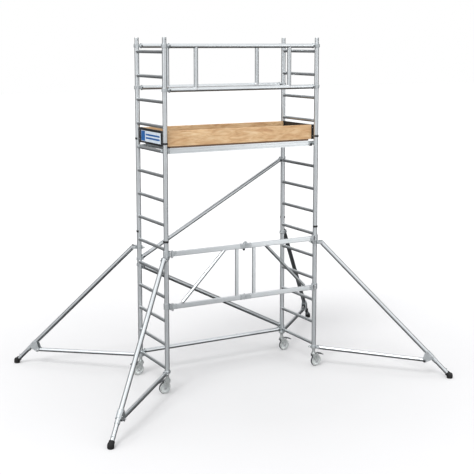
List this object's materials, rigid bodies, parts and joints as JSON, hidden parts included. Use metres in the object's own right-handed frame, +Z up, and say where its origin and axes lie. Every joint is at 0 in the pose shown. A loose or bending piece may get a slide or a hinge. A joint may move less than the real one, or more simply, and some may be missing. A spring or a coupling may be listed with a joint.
{
  "type": "mobile tower scaffold",
  "caption": "Aluminium mobile tower scaffold with ladder end frames, boarded platform and guard rails, folding base frame, braked casters and outrigger stabilisers.",
  "frame": {"origin": "on the ground, at the middle of the box around the whole tower", "axes": "+X along the platform to the right ladder frame, +Y to the rear braces, +Z up"},
  "size_m": [4.0018, 2.8718, 3.655],
  "materials": {
    "aluminium_tube": "satin extruded tube",
    "galvanised_steel": "zinc plated",
    "black_plastic": "matte moulded",
    "cast_aluminium": "fine cast",
    "platform_rail": "satin extruded channel",
    "birch_deck": "film-faced plywood",
    "pine_board": "varnished softwood",
    "black_board": "dark coated board",
    "label_plate": "printed plate, no lettering",
    "caster_zinc": "zinc plated pressing",
    "wheel_grey": "moulded grey",
    "pedal_grey": "moulded dark grey",
    "black_rubber": "black rubber"
  },
  "bodies": {
    "tower": {"base_ladder_left": "aluminium_tube", "base_ladder_right": "aluminium_tube", "middle_ladder_left": "aluminium_tube", "middle_ladder_right": "aluminium_tube", "top_ladder_left": "aluminium_tube", "top_ladder_right": "aluminium_tube", "ladder_spigots": "galvanised_steel", "spigot_clips": "black_plastic", "rear_diagonal_upper": "aluminium_tube", "rear_diagonal_lower": "aluminium_tube", "rear_horizontal_brace": "aluminium_tube", "guard_frame_front": "aluminium_tube", "guard_frame_rear": "aluminium_tube", "claw_hooks": "cast_aluminium", "claw_latches": "black_plastic", "platform_frame": "platform_rail", "platform_deck": "birch_deck", "platform_hooks": "cast_aluminium", "toe_board_front": "pine_board", "toe_board_rear": "pine_board", "toe_board_ends": "black_board", "toe_board_corners": "black_plastic", "name_plate": "label_plate", "hatch_hinge": "galvanised_steel", "fold_end_brackets": "cast_aluminium", "fold_end_pins": "galvanised_steel", "caster_stems": "galvanised_steel"},
    "hatch": {"hatch_panel": "birch_deck"},
    "hatch_handle": {"hatch_handle": "galvanised_steel"},
    "fold_left": {"fold_frame_left": "aluminium_tube"},
    "fold_right": {"fold_frame_right": "aluminium_tube"},
    "fold_lock": {"fold_lock": "black_plastic"},
    "caster_front_left": {"caster_fork_front_left": "caster_zinc"},
    "wheel_front_left": {"caster_wheel_front_left": "wheel_grey"},
    "brake_front_left": {"brake_pedal_front_left": "pedal_grey"},
    "stabiliser_front_left": {"stabiliser_tube_front_left": "aluminium_tube", "stabiliser_claws_front_left": "cast_aluminium"},
    "leg_front_left": {"stabiliser_leg_front_left": "aluminium_tube", "stabiliser_foot_front_left": "black_rubber"},
    "caster_front_right": {"caster_fork_front_right": "caster_zinc"},
    "wheel_front_right": {"caster_wheel_front_right": "wheel_grey"},
    "brake_front_right": {"brake_pedal_front_right": "pedal_grey"},
    "stabiliser_front_right": {"stabiliser_tube_front_right": "aluminium_tube", "stabiliser_claws_front_right": "cast_aluminium"},
    "leg_front_right": {"stabiliser_leg_front_right": "aluminium_tube", "stabiliser_foot_front_right": "black_rubber"},
    "caster_rear_left": {"caster_fork_rear_left": "caster_zinc"},
    "wheel_rear_left": {"caster_wheel_rear_left": "wheel_grey"},
    "brake_rear_left": {"brake_pedal_rear_left": "pedal_grey"},
    "stabiliser_rear_left": {"stabiliser_tube_rear_left": "aluminium_tube", "stabiliser_claws_rear_left": "cast_aluminium"},
    "leg_rear_left": {"stabiliser_leg_rear_left": "aluminium_tube", "stabiliser_foot_rear_left": "black_rubber"},
    "caster_rear_right": {"caster_fork_rear_right": "caster_zinc"},
    "wheel_rear_right": {"caster_wheel_rear_right": "wheel_grey"},
    "brake_rear_right": {"brake_pedal_rear_right": "pedal_grey"},
    "stabiliser_rear_right": {"stabiliser_tube_rear_right": "aluminium_tube", "stabiliser_claws_rear_right": "cast_aluminium"},
    "leg_rear_right": {"stabiliser_leg_rear_right": "aluminium_tube", "stabiliser_foot_rear_right": "black_rubber"}
  },
  "joints": [
    {"name": "hatch_hinge", "type": "hinge", "parent": "tower", "child": "hatch", "pos_m": [-0.4625, 0.246, 2.569], "axis": [-1, 0, 0], "range_deg": [0, 95]},
    {"name": "hatch_handle_lift", "type": "hinge", "parent": "hatch", "child": "hatch_handle", "pos_m": [-0.4625, -0.16, 2.565], "axis": [-1, 0, 0], "range_deg": [0, 90]},
    {"name": "fold_left_hinge", "type": "hinge", "parent": "tower", "child": "fold_left", "pos_m": [-0.857, -0.378, 1.1965], "axis": [0, 0, -1], "range_deg": [0, 85]},
    {"name": "fold_centre_hinge", "type": "hinge", "parent": "fold_left", "child": "fold_right", "pos_m": [0, -0.356, 1.1965], "axis": [0, 0, -1], "range_deg": [-170, 0]},
    {"name": "fold_lock_pull", "type": "slide", "parent": "fold_left", "child": "fold_lock", "axis": [0, 0, -1], "range_m": [0, 0.012], "stiffness_N_per_m": 250, "springref_m": -0.02},
    {"name": "caster_swivel_front_left", "type": "hinge", "parent": "tower", "child": "caster_front_left", "pos_m": [-0.905, -0.34, 0.15], "axis": [0, 0, 1], "continuous": true},
    {"name": "wheel_spin_front_left", "type": "hinge", "parent": "caster_front_left", "child": "wheel_front_left", "pos_m": [-0.936, -0.34, 0.0625], "axis": [0, 1, 0], "continuous": true},
    {"name": "brake_press_front_left", "type": "hinge", "parent": "caster_front_left", "child": "brake_front_left", "pos_m": [-0.941, -0.34, 0.138], "axis": [0, -1, 0], "range_deg": [0, 10]},
    {"name": "stabiliser_swivel_front_left", "type": "hinge", "parent": "tower", "child": "stabiliser_front_left", "pos_m": [-0.905, -0.34, 0.8], "axis": [0, 0, 1], "range_deg": [-35, 35]},
    {"name": "leg_slide_front_left", "type": "slide", "parent": "stabiliser_front_left", "child": "leg_front_left", "axis": [0.5064, 0.5064, 0.6979], "range_m": [0, 0.12]},
    {"name": "caster_swivel_front_right", "type": "hinge", "parent": "tower", "child": "caster_front_right", "pos_m": [0.905, -0.34, 0.15], "axis": [0, 0, 1], "continuous": true},
    {"name": "wheel_spin_front_right", "type": "hinge", "parent": "caster_front_right", "child": "wheel_front_right", "pos_m": [0.936, -0.34, 0.0625], "axis": [0, 1, 0], "continuous": true},
    {"name": "brake_press_front_right", "type": "hinge", "parent": "caster_front_right", "child": "brake_front_right", "pos_m": [0.941, -0.34, 0.138], "axis": [0, 1, 0], "range_deg": [0, 10]},
    {"name": "stabiliser_swivel_front_right", "type": "hinge", "parent": "tower", "child": "stabiliser_front_right", "pos_m": [0.905, -0.34, 0.8], "axis": [0, 0, 1], "range_deg": [-35, 35]},
    {"name": "leg_slide_front_right", "type": "slide", "parent": "stabiliser_front_right", "child": "leg_front_right", "axis": [-0.5064, 0.5064, 0.6979], "range_m": [0, 0.12]},
    {"name": "caster_swivel_rear_left", "type": "hinge", "parent": "tower", "child": "caster_rear_left", "pos_m": [-0.905, 0.34, 0.15], "axis": [0, 0, 1], "continuous": true},
    {"name": "wheel_spin_rear_left", "type": "hinge", "parent": "caster_rear_left", "child": "wheel_rear_left", "pos_m": [-0.936, 0.34, 0.0625], "axis": [0, 1, 0], "continuous": true},
    {"name": "brake_press_rear_left", "type": "hinge", "parent": "caster_rear_left", "child": "brake_rear_left", "pos_m": [-0.941, 0.34, 0.138], "axis": [0, -1, 0], "range_deg": [0, 10]},
    {"name": "stabiliser_swivel_rear_left", "type": "hinge", "parent": "tower", "child": "stabiliser_rear_left", "pos_m": [-0.905, 0.34, 0.8], "axis": [0, 0, 1], "range_deg": [-35, 35]},
    {"name": "leg_slide_rear_left", "type": "slide", "parent": "stabiliser_rear_left", "child": "leg_rear_left", "axis": [0.5064, -0.5064, 0.6979], "range_m": [0, 0.12]},
    {"name": "caster_swivel_rear_right", "type": "hinge", "parent": "tower", "child": "caster_rear_right", "pos_m": [0.905, 0.34, 0.15], "axis": [0, 0, 1], "continuous": true},
    {"name": "wheel_spin_rear_right", "type": "hinge", "parent": "caster_rear_right", "child": "wheel_rear_right", "pos_m": [0.936, 0.34, 0.0625], "axis": [0, 1, 0], "continuous": true},
    {"name": "brake_press_rear_right", "type": "hinge", "parent": "caster_rear_right", "child": "brake_rear_right", "pos_m": [0.941, 0.34, 0.138], "axis": [0, 1, 0], "range_deg": [0, 10]},
    {"name": "stabiliser_swivel_rear_right", "type": "hinge", "parent": "tower", "child": "stabiliser_rear_right", "pos_m": [0.905, 0.34, 0.8], "axis": [0, 0, 1], "range_deg": [-35, 35]},
    {"name": "leg_slide_rear_right", "type": "slide", "parent": "stabiliser_rear_right", "child": "leg_rear_right", "axis": [-0.5064, -0.5064, 0.6979], "range_m": [0, 0.12]}
  ],
  "couplings": [
    {"joint": "fold_centre_hinge", "follows": "fold_left_hinge", "ratio": -2}
  ]
}
